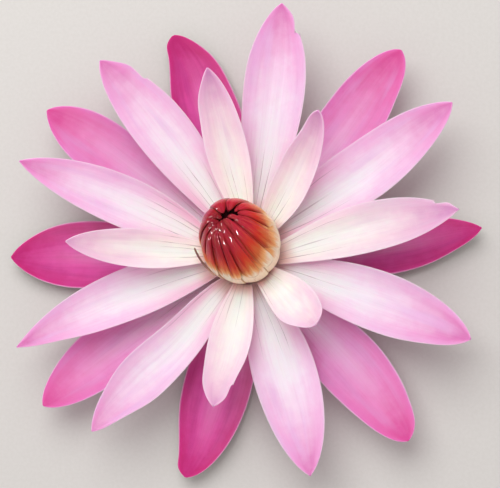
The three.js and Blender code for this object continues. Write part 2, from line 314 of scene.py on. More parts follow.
# One strap has come away from the others and curls outwards, on edge.
STRAY_ROOT = 224
STRAY_TIP = 181
STRAY_FOOT = 13.6
STRAY_RISE = 7.0
STRAY_ROOT_RADIUS = 12.8
STRAY_TIP_RADIUS = 15.3
STRAY_CURL = 1.3
STRAY_BLANK_HALF = 5.0
STRAY_HALF = 1.2
STRAY_TAPER = 0.6
STRAY_DEPTH = 0.3
STRAY_WALL = 0.6

# How finely strips are divided, across and along, before they are subdivided.
BLADE_COLUMNS = 12
BLADE_ROWS = 20
STRAP_COLUMNS = 4
STRAP_ROWS = 10

# Lights and floor, in metres: the wide light hangs high behind the flower, and four narrow ones
# stand round it, so that each shows as a glint.
AIM = Vector((0, 0, 0.02))
KEY_PLACE = (-0.13, 0.36, 0.66)
KEY_SIZE = (0.7, 0.7)
GLINT_PLACES = {
    "left": (-0.52, 0.14, 0.45),
    "low": (-0.65, -0.18, 0.18),
    "high": (-0.36, -0.28, 0.6),
    "near": (0.0, -0.48, 0.56),
}
GLINT_SIZE = (0.03, 0.16)
FLOOR_SIZE = 6.0

# The view: the lens stands back along a line a little off the vertical, leaning this way.
VIEW_DISTANCE = 600
VIEW_TILT = 9
VIEW_LEAN = -45
VIEW_HEIGHT = 12
VIEW_SHIFT = (7, 6)
MM_PER_PIXEL = 0.33
FRAME_WIDTH = 500
SENSOR = 36


# ---- Colours and settings ------------------------------------------------------------------

# The colour of the light from all round, a little pink.
AIR_COLOUR = (1.0, 0.95, 0.965, 1.0)
# Along a blade the root's colour gives way to the middle's, and that to the tip's by shares.
ROOT_STOP = 0.08
MIDDLE_STOP = 0.5
TIP_SHARES = ((0.72, 0.28), (0.86, 0.62), (1.0, 1.0))


@dataclass
class Look:
    """How the inner skin of a whorl is coloured: two tints, and the strength of the rest."""

    rim: str
    bands: str
    veins: float
    streaks: float
    # How strongly painted pink shade tints the root's covered flanks.
    root_shade: float


LOOKS = {
    "sepal": Look("#C83C86", "#C04890", 0.0, 0.4, 0.3),
    "outer_petal": Look("#E584BE", "#DCA4D0", 0.5, 0.3, 0.6),
    "middle_petal": Look("#F2B8DC", "#E2BCDF", 0.75, 0.26, 0.6),
    "inner_petal": Look("#F0CCDC", "#E0C4D6", 0.75, 0.22, 0.15),
}


def linear(code):
    """Linear red, green and blue of an sRGB hex value."""
    shares = [int(code[i : i + 2], 16) / 255 for i in (1, 3, 5)]
    return [c / 12.92 if c <= 0.04045 else ((c + 0.055) / 1.055) ** 2.4 for c in shares]


def colour_setting(name, description, code):
    return bpy.props.FloatVectorProperty(
        name=name,
        description=description,
        subtype="COLOR",
        size=3,
        min=0.0,
        max=1.0,
        default=linear(code),
    )


def amount_setting(name, description, amount, unit="NONE", precision=2):
    return bpy.props.FloatProperty(
        name=name, description=description, unit=unit, min=0.0, default=amount, precision=precision
    )


def length_setting(name, description, millimetres):
    return amount_setting(name, description, millimetres * MM, "LENGTH", 5)


class LilySizes(bpy.types.PropertyGroup):
    sepal_wall: length_setting("Sepal wall", "Thickness of a sepal along its midrib", 1.2)
    petal_wall: length_setting("Petal wall", "Thickness of a petal along its midrib", 0.9)
    rim_wall: length_setting("Rim", "Thickness of a sepal or petal at its rim", 0.4)
    ridge: length_setting("Ridges", "Height of the soft ridges along a petal", 0.09)
    ruffle: length_setting("Ruffle", "Height of the soft waves along a rim", 0.6)


class LilyColours(bpy.types.PropertyGroup):
    sepal_root: colour_setting("Sepal root", "Inner face of a sepal at its root", "#F2B8E0")
    sepal_middle: colour_setting("Sepal middle", "Inner face of a sepal half-way", "#EA6CBC")
    sepal_tip: colour_setting("Sepal tip", "Inner face of a sepal at its tip", "#C22E7E")
    outer_root: colour_setting("Outer root", "Outer petal at its root", "#FCDCE8")
    outer_middle: colour_setting("Outer middle", "Outer petal half-way", "#EDA8D6")
    outer_tip: colour_setting("Outer tip", "Outer petal at its tip", "#D4569E")
    middle_root: colour_setting("Middle root", "Middle petal at its root", "#FDF1EE")
    middle_middle: colour_setting("Middle middle", "Middle petal half-way", "#FAE3F1")
    middle_tip: colour_setting("Middle tip", "Middle petal at its tip", "#D47EB8")
    inner_root: colour_setting("Inner root", "Inner petal at its root", "#FFF5EC")
    inner_middle: colour_setting("Inner middle", "Inner petal half-way", "#F7E7E6")
    inner_tip: colour_setting("Inner tip", "Inner petal at its tip", "#CC90BE")
    sepal_back: colour_setting("Sepal back", "Outer face of a sepal", "#74683E")
    petal_back: colour_setting("Petal back", "Outer face of the petals", "#E2A0C8")
    vein: colour_setting("Veins", "Fine veins near the petals' roots", "#9A8088")
    stamen_foot: colour_setting("Stamen foot", "Straps at the foot of the dome", "#FAE8CA")
    stamen_middle: colour_setting("Stamen middle", "Straps half-way up the dome", "#D26C3C")
    stamen_tip: colour_setting("Stamen tip", "Straps at the apex of the dome", "#AC2438")
    stalk: colour_setting("Stalk", "Receptacle and cut stalk", "#8D9A58")


class LilyStage(bpy.types.PropertyGroup):
    floor: colour_setting("Floor", "Plain pale surface under the flower", "#CFCDC8")
    key: amount_setting("Key light", "Power of the wide soft light behind the flower", 4.2, "POWER")
    glint: amount_setting("Glint light", "Power of each narrow light that glints", 1.2, "POWER")
    fill: amount_setting("Fill", "Brightness of the even light from all round", 0.63)


# ---- Modelling helpers ---------------------------------------------------------------------


def polar(radius, degrees, height=0.0):
    angle = math.radians(degrees)
    return Vector((radius * math.cos(angle), radius * math.sin(angle), height))


def mix(a, b, share):
    return a + (b - a) * share


def smoothstep(value, low, high):
    share = min(max((value - low) / (high - low), 0.0), 1.0)
    return share * share * (3 - 2 * share)


def clear_selection():
    """Back to object mode with nothing selected, so that the next primitive stands alone."""
    active = bpy.context.view_layer.objects.active
    if active and active.mode != "OBJECT":
        bpy.ops.object.mode_set(mode="OBJECT")
    bpy.ops.object.select_all(action="DESELECT")


def activate(piece):
    """Selects this piece alone and makes it the active one."""
    clear_selection()
    piece.select_set(True)
    bpy.context.view_layer.objects.active = piece


def edit(piece):
    """Opens a piece for editing by its points."""
    activate(piece)
    bpy.ops.object.mode_set(mode="EDIT")
    bpy.context.tool_settings.mesh_select_mode = (True, False, False)


def name_active(name):
    """Names the active piece and its mesh."""
    piece = bpy.context.object
    piece.name = name
    piece.data.name = name
    return piece


def take_primitive(name):
    """Names the primitive that was just added, and puts its place into its mesh."""
    bpy.ops.object.transform_apply(location=True, rotation=True, scale=True)
    return name_active(name)


def pick(piece, points):
    """Selects these points of the piece that is being edited, and no others."""
    bpy.ops.mesh.select_all(action="DESELECT")
    mesh = bmesh.from_edit_mesh(piece.data)
    mesh.verts.ensure_lookup_table()
    for point in points:
        mesh.verts[point].select_set(True)
    mesh.select_flush_mode()
    bmesh.update_edit_mesh(piece.data, loop_triangles=False, destructive=False)


def turn(degrees, axis, centre):
    """Turns the selection anticlockwise about an axis. With no window the operator turns the
    other way, so it is given the opposite angle."""
    bpy.ops.transform.rotate(
        value=-math.radians(degrees), orient_axis=axis, center_override=centre
    )


@dataclass
class Row:
    """Where one row of points of a strip goes, how it is sized and how it is turned."""

    place: Vector
    width: float
    depth: float
    roll: float
    pitch: float
    heading: float


def strip_blank(name, columns, rows, half, profile):
    """A strip along +Y from the origin, one row of points for each place along it, raised
    across its width by the profile."""
    clear_selection()
    bpy.ops.mesh.primitive_grid_add(
        x_subdivisions=columns,
        y_subdivisions=rows,
        size=2 * half * MM,
        location=(0, half * MM, 0),
    )
    strip = take_primitive(name)
    edit(strip)
    for column in range(columns + 1):
        across = 2 * column / columns - 1
        pick(strip, range(column, (columns + 1) * (rows + 1), columns + 1))
        bpy.ops.transform.translate(value=(0, 0, half * MM * profile(across)))
    clear_selection()
    return strip


def copy_of(piece, name):
    activate(piece)
    bpy.ops.object.duplicate(linked=False)
    return name_active(name)


def lay_rows(strip, columns, half, rows):
    """Sizes, turns and moves each row of a strip. Widths and depths are in millimetres, and the
    blank strip is as deep at its rims as it is half wide."""
    edit(strip)
    for number, row in enumerate(rows):
        centre = Vector((0, 2 * half * MM * number / (len(rows) - 1), 0))
        first = number * (columns + 1)
        pick(strip, range(first, first + columns + 1))
        size = (row.width / half, 1, row.depth / half)
        bpy.ops.transform.resize(value=size, center_override=centre)
        turn(row.roll, "Y", centre)
        turn(row.pitch, "X", centre)
        turn(row.heading, "Z", centre)
        bpy.ops.transform.translate(value=row.place * MM - centre)


def apply_modifier(piece, name, kind, **settings):
    activate(piece)
    modifier = piece.modifiers.new(name, kind)
    for setting, value in settings.items():
        setattr(modifier, setting, value)
    bpy.ops.object.modifier_apply(modifier=name)


def thicken(piece, wall):
    """Gives a strap its thickness, in millimetres, behind its outer face, and rounds it."""
    apply_modifier(piece, "wall", "SOLIDIFY", thickness=wall * MM, offset=-1)
    apply_modifier(piece, "skin", "SUBSURF", levels=2, render_levels=2)


def write_attribute(piece, name, value):
    """The same number on every point, for a material to read."""
    layer = piece.data.attributes.new(name, "FLOAT", "POINT")
    layer.data.foreach_set("value", [value] * len(piece.data.vertices))


def hand_over(piece, slot, *nodes):
    """Puts a finished piece on the body, in place of the solids that it stands for."""
    bpy.ops.object.shade_smooth()
    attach(piece, BODY)
    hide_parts(*nodes)


# ---- Materials -----------------------------------------------------------------------------


def add_node(tree, kind, settings=None, **inputs):
    """Adds a node, sets its properties, and gives each input a value or a link. Inputs are
    named by their socket, with spaces as underscores, or by i and their number. A colour
    ramp's stops are (place, colour) pairs."""
    node = tree.nodes.new(kind)
    for setting, value in (settings or {}).items():
        if setting == "stops":
            elements = node.color_ramp.elements
            while len(elements) < len(value):
                elements.new(1.0)
            for element, (place, colour) in zip(elements, value):
                element.position = place
                element.color = (*colour, 1.0)
        else:
            setattr(node, setting, value)
    for name, value in inputs.items():
        numbered = name[1:].isdigit()
        socket = node.inputs[int(name[1:]) if numbered else name.replace("_", " ")]
        if isinstance(value, bpy.types.NodeSocket):
            tree.links.new(value, socket)
        elif socket.type == "RGBA" and len(value) == 3:
            socket.default_value = (*value, 1.0)
        else:
            socket.default_value = value
    return node


def new_material(name):
    material = bpy.data.materials.new(name)
    material.use_nodes = True
    material.node_tree.nodes.clear()
    return material, material.node_tree


def blade_places(tree):
    """Places on a blade, from its own UV map: across it, along it from root 0 to tip 1, and how
    near the rim. The map counts the rows, and these stand closer together towards the tip."""
    uv = add_node(tree, "ShaderNodeUVMap", {"uv_map": "UVMap"})
    parts = add_node(tree, "ShaderNodeSeparateXYZ", Vector=uv.outputs[0])
    across = parts.outputs[0]
    quarter = add_node(
        tree, "ShaderNodeMath", {"operation": "MULTIPLY"}, i0=parts.outputs[1], i1=math.pi / 2
    )
    along = add_node(tree, "ShaderNodeMath", {"operation": "SINE"}, i0=quarter.outputs[0])
    centred = add_node(
        tree, "ShaderNodeMath", {"operation": "MULTIPLY_ADD"}, i0=across, i1=2.0, i2=-1.0
    )
    rim = add_node(tree, "ShaderNodeMath", {"operation": "ABSOLUTE"}, i0=centred.outputs[0])
    return across, along.outputs[0], rim.outputs[0]


def streaks(tree, across, along, count, stretch, seed, detail=3.0):
    """Noise drawn out along a blade: so many streaks across it, each so long a share of it."""
    wide = add_node(tree, "ShaderNodeMath", {"operation": "MULTIPLY"}, i0=across, i1=count)
    long = add_node(tree, "ShaderNodeMath", {"operation": "MULTIPLY"}, i0=along, i1=stretch)
    place = add_node(
        tree,
        "ShaderNodeCombineXYZ",
        i0=wide.outputs[0],
        i1=long.outputs[0],
        i2=seed,
    )
    noise = add_node(
        tree,
        "ShaderNodeTexNoise",
        Vector=place.outputs[0],
        Scale=1.0,
        Detail=detail,
        Roughness=0.6,
    )
    return noise.outputs[0]


def between(tree, value, low, high, to_low=0.0, to_high=1.0):
    """The value carried smoothly from one range to another, and kept inside it."""
    carried = add_node(
        tree,
        "ShaderNodeMapRange",
        {"interpolation_type": "SMOOTHSTEP"},
        i0=value,
        i1=low,
        i2=high,
        i3=to_low,
        i4=to_high,
    )
    return carried.outputs[0]


def product(tree, a, b):
    return add_node(tree, "ShaderNodeMath", {"operation": "MULTIPLY"}, i0=a, i1=b).outputs[0]


def total(tree, a, b):
    return add_node(tree, "ShaderNodeMath", {"operation": "ADD"}, i0=a, i1=b).outputs[0]


def tinted(tree, base, tint, share, blend="MIX"):
    """A colour laid over another by a share."""
    node = add_node(
        tree,
        "ShaderNodeMix",
        {"data_type": "RGBA", "blend_type": blend},
        Factor=share,
        i6=base,
        i7=tint,
    )
    return node.outputs[2]


def petal_skin(name, stops, vein, vein_strength, rim_tint, cool_tint, streak_strength, root_shade):
    """Petal skin: living tissue of thin-walled cells over air spaces. It is satin, a little
    translucent, streaked along its veins and softly blotched. It is thin at the rim, where a
    pale line is a painted highlight."""
    material, tree = new_material(name)
    across, along, rim = blade_places(tree)
    seed = add_node(tree, "ShaderNodeAttribute", {"attribute_name": "number"}).outputs["Fac"]
    flush = add_node(tree, "ShaderNodeAttribute", {"attribute_name": "flush"}).outputs["Fac"]
    place = add_node(tree, "ShaderNodeTexCoord").outputs["Object"]
    # Soft streaks about 2 mm apart and fine ones about 0.6 mm, and blotches of about 5 mm.
    broad = streaks(tree, across, along, 9.0, 1.3, seed)
    fine = streaks(tree, across, along, 34.0, 4.0, seed, 2.0)
    blotch = add_node(
        tree, "ShaderNodeTexNoise", Vector=place, Scale=210.0, Detail=4.0, Roughness=0.6
    ).outputs[0]
    grain = add_node(
        tree, "ShaderNodeTexNoise", Vector=place, Scale=1600.0, Detail=2.0
    ).outputs[0]
    fading = between(tree, along, 0.6, 1.0, 1.0, 0.35)
    drawn = product(tree, total(tree, broad, -0.5), product(tree, fading, streak_strength))
    mottled = product(tree, total(tree, blotch, -0.5), 0.22)
    reach = total(tree, total(tree, along, flush), total(tree, drawn, mottled))
    reach = total(tree, reach, between(tree, rim, 0.2, 1.0, 0.0, 0.09))
    base = add_node(tree, "ShaderNodeValToRGB", {"stops": stops}, Fac=reach).outputs[0]
    # The midrib shows as a paler band that fades towards the tip.
    band = product(
        tree,
        between(tree, rim, 0.0, 0.45, 1.0, 0.0),
        between(tree, along, 0.25, 0.95, product(tree, broad, 0.6), 0.0),
    )
    base = tinted(tree, base, linear("#FFFAFC"), band)
    flanks = product(
        tree,
        between(tree, total(tree, rim, product(tree, total(tree, blotch, -0.5), 0.5)), 0.3, 0.95),
        between(tree, along, 0.05, 0.6, 0.1, 0.6),
    )
    base = tinted(tree, base, rim_tint, flanks)
    # Long cooler bands lie along the outer half. Painted pink shade lies on the root's flanks,
    # where the petals above cover them.
    bands = product(
        tree,
        between(tree, streaks(tree, across, along, 3.2, 1.5, seed, 2.0), 0.46, 0.66, 0.0, 0.55),
        between(tree, along, 0.3, 0.65),
    )
    bands = product(tree, bands, between(tree, along, 0.84, 0.97, 1.0, 0.1))
    base = tinted(tree, base, cool_tint, bands)
    # Painted shade, pink as if filtered through the petals above.
    root_shade_share = product(
        tree, between(tree, rim, 0.2, 0.9), between(tree, along, 0.12, 0.55, root_shade, 0.0)
    )
    base = tinted(tree, base, linear("#EC9CC0"), root_shade_share)
    # Beside the stamens' foot the roots are darkened brown with painted shade, for the dome's shadow.
    base = tinted(tree, base, linear("#CFA096"), between(tree, along, 0.02, 0.13, 0.75, 0.0))
    # A few fine veins run out from the root, each to its own length and strength.
    drifted = total(
        tree, product(tree, across, 6.5), product(tree, total(tree, broad, -0.5), 1.1)
    )
    cell = add_node(tree, "ShaderNodeMath", {"operation": "ROUND"}, i0=drifted).outputs[0]
    comb = add_node(
        tree, "ShaderNodeMath", {"operation": "PINGPONG"}, i0=drifted, i1=0.5
    ).outputs[0]
    lottery = add_node(
        tree,
        "ShaderNodeTexWhiteNoise",
        {"noise_dimensions": "2D"},
        Vector=add_node(tree, "ShaderNodeCombineXYZ", X=cell, Y=seed).outputs[0],
    ).outputs[0]
    vein_half = between(tree, along, 0.05, 0.28, 0.16, 0.06)
    line = between(tree, comb, 0.0, vein_half, 1.0, 0.0)
    length = total(tree, along, product(tree, lottery, -0.22))
    faded = product(
        tree, between(tree, length, 0.08, 0.24, 1.0, 0.0), between(tree, rim, 0.75, 0.95, 1.0, 0.0)
    )
    chosen = between(tree, lottery, 0.35, 0.9, 0.12, 1.0)
    veins = product(tree, product(tree, line, faded), product(tree, chosen, vein_strength))
    base = tinted(tree, base, vein, veins)
    hair = product(tree, between(tree, fine, 0.42, 0.72, 0.0, 0.13), fading)
    base = tinted(tree, base, rim_tint, hair, "MULTIPLY")
    # A painted highlight: a pale line along the rim.
    rim_highlight = between(tree, rim, 0.94, 0.99, 0.0, 0.5)
    base = tinted(tree, base, linear("#F0C6DA"), rim_highlight)
    height = total(tree, product(tree, broad, 0.7), product(tree, fine, 0.3))
    bump = add_node(tree, "ShaderNodeBump", Strength=0.55, Distance=0.14 * MM, Height=height)
    fine_bump = add_node(
        tree,
        "ShaderNodeBump",
        Strength=0.3,
        Distance=0.03 * MM,
        Height=grain,
        Normal=bump.outputs[0],
    )
    shader = add_node(
        tree,
        "ShaderNodeBsdfPrincipled",
        Base_Color=base,
        Roughness=between(tree, grain, 0.3, 0.7, 0.46, 0.6),
        Normal=fine_bump.outputs[0],
        Specular_IOR_Level=0.35,
        Subsurface_Weight=1.0,
        Subsurface_Radius=(1.0, 0.65, 0.85),
        Subsurface_Scale=1.8 * MM,
    )
    add_node(tree, "ShaderNodeOutputMaterial", Surface=shader.outputs[0])
    return material


def sepal_back_skin(name, base_colour):
    """Outer skin of a sepal: tough and waxy, bronze green with dark lengthwise ribs."""
    material, tree = new_material(name)
    across, along, rim = blade_places(tree)
    seed = add_node(tree, "ShaderNodeAttribute", {"attribute_name": "number"}).outputs["Fac"]
    broad = streaks(tree, across, along, 14.0, 2.0, seed)
    ribs = add_node(
        tree,
        "ShaderNodeMath",
        {"operation": "PINGPONG"},
        i0=product(tree, across, 9.0),
        i1=0.5,
    ).outputs[0]
    base = tinted(tree, base_colour, linear("#8C4A50"), between(tree, rim, 0.45, 1.0, 0.0, 0.75))
    base = tinted(tree, base, linear("#4F4A2A"), between(tree, broad, 0.4, 0.7, 0.0, 0.5))
    base = tinted(tree, base, linear("#3F3A24"), between(tree, ribs, 0.0, 0.12, 0.6, 0.0))
    bump = add_node(tree, "ShaderNodeBump", Strength=0.6, Distance=0.2 * MM, Height=ribs)
    shader = add_node(
        tree,
        "ShaderNodeBsdfPrincipled",
        Base_Color=base,
        Roughness=between(tree, broad, 0.3, 0.7, 0.34, 0.5),
        Normal=bump.outputs[0],
    )
    add_node(tree, "ShaderNodeOutputMaterial", Surface=shader.outputs[0])
    return material


def petal_back_skin(name, base_colour):
    """Outer skin of a petal: satin pink, with a faint green-bronze tinge along the midrib and
    slightly raised veins."""
    material, tree = new_material(name)
    across, along, rim = blade_places(tree)
    seed = add_node(tree, "ShaderNodeAttribute", {"attribute_name": "number"}).outputs["Fac"]
    broad = streaks(tree, across, along, 16.0, 1.6, seed)
    base = tinted(tree, base_colour, linear("#F4D9E8"), between(tree, along, 0.0, 0.7, 0.7, 0.0))
    tinge = product(
        tree, between(tree, rim, 0.0, 0.3, 1.0, 0.0), between(tree, along, 0.1, 0.8, 0.45, 0.0)
    )
    base = tinted(tree, base, linear("#A98F7C"), tinge)
    base = tinted(tree, base, linear("#C9689F"), between(tree, broad, 0.42, 0.7, 0.0, 0.45))
    bump = add_node(tree, "ShaderNodeBump", Strength=0.5, Distance=0.15 * MM, Height=broad)
    shader = add_node(
        tree,
        "ShaderNodeBsdfPrincipled",
        Base_Color=base,
        Roughness=between(tree, broad, 0.3, 0.7, 0.45, 0.58),
        Normal=bump.outputs[0],
        Subsurface_Weight=0.2,
        Subsurface_Radius=(1.0, 0.55, 0.6),
        Subsurface_Scale=1.6 * MM,
    )
    add_node(tree, "ShaderNodeOutputMaterial", Surface=shader.outputs[0])
    return material


def stamen_skin(name, foot, middle, tip):
    """Stamen skin: fleshy straps that are wet with nectar, cream at the foot, orange half-way
    and crimson at the tip. Painted shade darkens their margins and the sides that their
    neighbours lap over. They shine as if varnished."""
    material, tree = new_material(name)
    uv = add_node(tree, "ShaderNodeUVMap", {"uv_map": "UVMap"})
    parts = add_node(tree, "ShaderNodeSeparateXYZ", Vector=uv.outputs[0])
    across, climb = parts.outputs[0], parts.outputs[1]
    seed = add_node(tree, "ShaderNodeAttribute", {"attribute_name": "number"}).outputs["Fac"]
    place = add_node(tree, "ShaderNodeTexCoord").outputs["Object"]
    centred = add_node(
        tree, "ShaderNodeMath", {"operation": "MULTIPLY_ADD"}, i0=across, i1=2.0, i2=-1.0
    )
    rim = add_node(tree, "ShaderNodeMath", {"operation": "ABSOLUTE"}, i0=centred.outputs[0])
    rim = rim.outputs[0]
    broad = streaks(tree, across, climb, 4.0, 3.0, seed)
    fine = streaks(tree, across, climb, 16.0, 6.0, seed, 2.0)
    # Wet lumps about 1.5 mm across.
    lumps = add_node(
        tree, "ShaderNodeTexNoise", Vector=place, Scale=620.0, Detail=2.0, Roughness=0.5
    ).outputs[0]
    strap_tone = add_node(
        tree, "ShaderNodeTexWhiteNoise", {"noise_dimensions": "1D"}, W=seed
    ).outputs[0]
    shift = total(
        tree,
        product(tree, total(tree, strap_tone, -0.5), 0.08),
        product(tree, total(tree, broad, -0.5), 0.22),
    )
    # The colours reach lower down on the side that the dome leans away from.
    towards = add_node(
        tree,
        "ShaderNodeVectorMath",
        {"operation": "DOT_PRODUCT"},
        i0=place,
        i1=polar(1, 205),
    ).outputs["Value"]
    lower = product(
        tree,
        between(tree, towards, -13 * MM, 13 * MM, -0.05, 0.13),
        between(tree, climb, 0.3, 0.5),
    )
    shift = total(tree, shift, lower)
    reach = total(tree, climb, shift)
    stops = (
        (0.0, linear("#E8D2AC")),
        (0.32, foot),
        (0.41, linear("#EAAA6C")),
        (0.49, middle),
        (0.6, linear("#D23C2C")),
        (0.74, linear("#C22C3E")),
        (0.9, tip),
        (1.0, linear("#841426")),
    )
    base = add_node(tree, "ShaderNodeValToRGB", {"stops": stops}, Fac=reach).outputs[0]
    dark = product(
        tree, between(tree, broad, 0.52, 0.75, 0.0, 0.6), between(tree, climb, 0.42, 0.65)
    )
    base = tinted(tree, base, linear("#7C0E18"), dark)
    # On that side the upper straps are dark crimson.
    crimson = product(
        tree, between(tree, towards, -4 * MM, 9 * MM, 0.0, 0.6), between(tree, reach, 0.52, 0.7)
    )
    base = tinted(tree, base, linear("#861628"), crimson)
    # Painted shade: each strap is deeper red along the side that its neighbour laps over and shades.
    lapped_shade = product(
        tree,
        between(tree, total(tree, across, product(tree, broad, 0.2)), 0.18, 0.48, 0.65, 0.0),
        between(tree, reach, 0.38, 0.5),
    )
    base = tinted(tree, base, linear("#8E0F14"), lapped_shade)
    # Higher up, a dark red line of painted shade runs along both edges of each strap, in the grooves.
    edge_shade = product(
        tree, between(tree, rim, 0.82, 0.97, 0.0, 0.7), between(tree, reach, 0.45, 0.62)
    )
    base = tinted(tree, base, linear("#7A0F14"), edge_shade)
    # Low down, a thin brown line of painted shade follows the edges and the foot of each strap,
    # where it steps over the next.
    length = add_node(tree, "ShaderNodeAttribute", {"attribute_name": "share"}).outputs["Fac"]
    foot_shade = between(tree, length, 0.0, 0.03, 1.0, 0.0)
    side_shade = between(tree, rim, 0.86, 0.95)
    line = add_node(
        tree, "ShaderNodeMath", {"operation": "MAXIMUM"}, i0=foot_shade, i1=side_shade
    ).outputs[0]
    line = product(tree, line, between(tree, reach, 0.4, 0.55, 0.75, 0.0))
    base = tinted(tree, base, linear("#A87848"), line)
    base = tinted(tree, base, linear("#B98A58"), between(tree, fine, 0.5, 0.75, 0.0, 0.3))
    height = total(tree, product(tree, fine, 0.35), product(tree, lumps, 0.65))
    wet = between(tree, climb, 0.4, 0.65, 0.15, 0.9)
    bump = add_node(tree, "ShaderNodeBump", Strength=wet, Distance=0.2 * MM, Height=height)
    shader = add_node(
        tree,
        "ShaderNodeBsdfPrincipled",
        Base_Color=base,
        Roughness=between(tree, lumps, 0.3, 0.7, 0.3, 0.42),
        Normal=bump.outputs[0],
        Specular_IOR_Level=0.06,
        Subsurface_Weight=0.2,
        Subsurface_Radius=(1.0, 0.35, 0.25),
        Subsurface_Scale=1.0 * MM,
        Coat_Weight=between(tree, climb, 0.4, 0.6, 0.1, 0.7),
        Coat_Roughness=0.07,
    )
    add_node(tree, "ShaderNodeOutputMaterial", Surface=shader.outputs[0])
    return material


def core_flesh(name):
    """The flesh between the straps: dull, and dark wine red that is painted shade for the deep pits."""
    material, tree = new_material(name)
    place = add_node(tree, "ShaderNodeTexCoord")
    noise = add_node(
        tree, "ShaderNodeTexNoise", Vector=place.outputs["Object"], Scale=600.0, Detail=3.0
    )
    # Painted shade: near-black, for the pits among the strap tips.
    base = tinted(
        tree, linear("#3A0A10"), linear("#120206"), between(tree, noise.outputs[0], 0.3, 0.7)
    )
    shader = add_node(
        tree,
        "ShaderNodeBsdfPrincipled",
        Base_Color=base,
        Roughness=0.8,
        Specular_IOR_Level=0.1,
    )
    add_node(tree, "ShaderNodeOutputMaterial", Surface=shader.outputs[0])
    return material


def stray_skin(name):
    """A strap that has dried towards its tip: brown purple, and less shiny than the wet ones."""
    material, tree = new_material(name)
    place = add_node(tree, "ShaderNodeTexCoord")
    noise = add_node(
        tree, "ShaderNodeTexNoise", Vector=place.outputs["Object"], Scale=900.0, Detail=3.0
    )
    parts = add_node(tree, "ShaderNodeSeparateXYZ", Vector=place.outputs["Object"])
    dried = between(tree, parts.outputs[2], 14 * MM, 19 * MM)
    base = tinted(tree, linear("#DDB098"), linear("#8A5E54"), dried)
    flecks = between(tree, noise.outputs[0], 0.35, 0.65, 0.0, 0.6)
    base = tinted(tree, base, linear("#6E4344"), product(tree, flecks, dried))
    shader = add_node(
        tree,
        "ShaderNodeBsdfPrincipled",
        Base_Color=base,
        Roughness=between(tree, noise.outputs[0], 0.3, 0.7, 0.35, 0.55),
    )
    add_node(tree, "ShaderNodeOutputMaterial", Surface=shader.outputs[0])
    return material


def stalk_skin(name, base_colour):
    """Stalk tissue: smooth green skin with fine lengthwise lines, tinged pink high up and paler at
    the cut end."""
    material, tree = new_material(name)
    place = add_node(tree, "ShaderNodeTexCoord").outputs["Object"]
    parts = add_node(tree, "ShaderNodeSeparateXYZ", Vector=place)
    # Speckles about 0.4 mm wide, drawn out up the wall.
    drawn = add_node(
        tree, "ShaderNodeMapping", Vector=place, Scale=(2500.0, 2500.0, 300.0)
    )
    lines = add_node(tree, "ShaderNodeTexNoise", Vector=drawn.outputs[0], Scale=1.0, Detail=3.0)
    height = parts.outputs[2]
    base = tinted(tree, linear("#C9CBA0"), base_colour, between(tree, height, 0.0, 1.2 * MM))
    base = tinted(tree, base, linear("#B98A8A"), between(tree, height, 5.0 * MM, 11.0 * MM, 0.0, 0.7))
    base = tinted(
        tree, base, linear("#5C6636"), between(tree, lines.outputs[0], 0.45, 0.7, 0.0, 0.5)
    )
    bump = add_node(
        tree, "ShaderNodeBump", Strength=0.4, Distance=0.1 * MM, Height=lines.outputs[0]
    )
    shader = add_node(
        tree,
        "ShaderNodeBsdfPrincipled",
        Base_Color=base,
        Roughness=between(tree, lines.outputs[0], 0.3, 0.7, 0.38, 0.55),
        Normal=bump.outputs[0],
        Subsurface_Weight=0.1,
        Subsurface_Radius=(0.6, 1.0, 0.4),
        Subsurface_Scale=1.0 * MM,
    )
    add_node(tree, "ShaderNodeOutputMaterial", Surface=shader.outputs[0])
    return material


def paper_sweep(name, colour):
    """Studio paper: matt, with a grain that is barely seen."""
    material, tree = new_material(name)
    place = add_node(tree, "ShaderNodeTexCoord").outputs["Object"]
    grain = add_node(tree, "ShaderNodeTexNoise", Vector=place, Scale=900.0, Detail=2.0)
    base = tinted(tree, colour, linear("#FFFFFF"), between(tree, grain.outputs[0], 0.3, 0.7, 0.0, 0.05))
    shader = add_node(tree, "ShaderNodeBsdfPrincipled", Base_Color=base, Roughness=0.85)
    add_node(tree, "ShaderNodeOutputMaterial", Surface=shader.outputs[0])
    return material


# ---- Sepals and petals ---------------------------------------------------------------------


def wall_radius(height):
    """Radius of the receptacle's wall at a height."""
    for (inner, low), (outer, high) in zip(RECEPTACLE_OUTLINE, RECEPTACLE_OUTLINE[1:]):
        if height <= high:
            return mix(inner, outer, (height - low) / (high - low))
    raise ValueError(f"the receptacle has no wall at height {height}")


def outline_share(tepal, s):
    """Share of the widest half width: it swells from the neck and closes to the tip."""
    if s < tepal.widest:
        swell = math.sin(math.pi / 2 * s / tepal.widest)
        return tepal.neck + (1 - tepal.neck) * swell
    to_tip = min((s - tepal.widest) / (1 - tepal.widest), 1.0)
    return (1 - to_tip**TIP_POWER) ** tepal.point


def midrib(whorl, tepal, s):
    """The midrib, from the root on the receptacle's wall, sagging and rising to the tip."""
    root_height = whorl.root + tepal.lift
    root = polar(wall_radius(root_height) + SEAT_GAP, tepal.root, root_height)
    rise = whorl.tip if tepal.rise is None else tepal.rise
    sag = whorl.sag if tepal.sag is None else tepal.sag
    tip = polar(tepal.reach, tepal.tip, rise)
    control = (root + tip) / 2
    control.z = sag + tepal.lift
    outwards = Vector((tip.x - root.x, tip.y - root.y, 0)).normalized()
    control += Vector((0, 0, 1)).cross(outwards) * 2 * tepal.bow
    return root * (1 - s) ** 2 + control * 2 * s * (1 - s) + tip * s * s


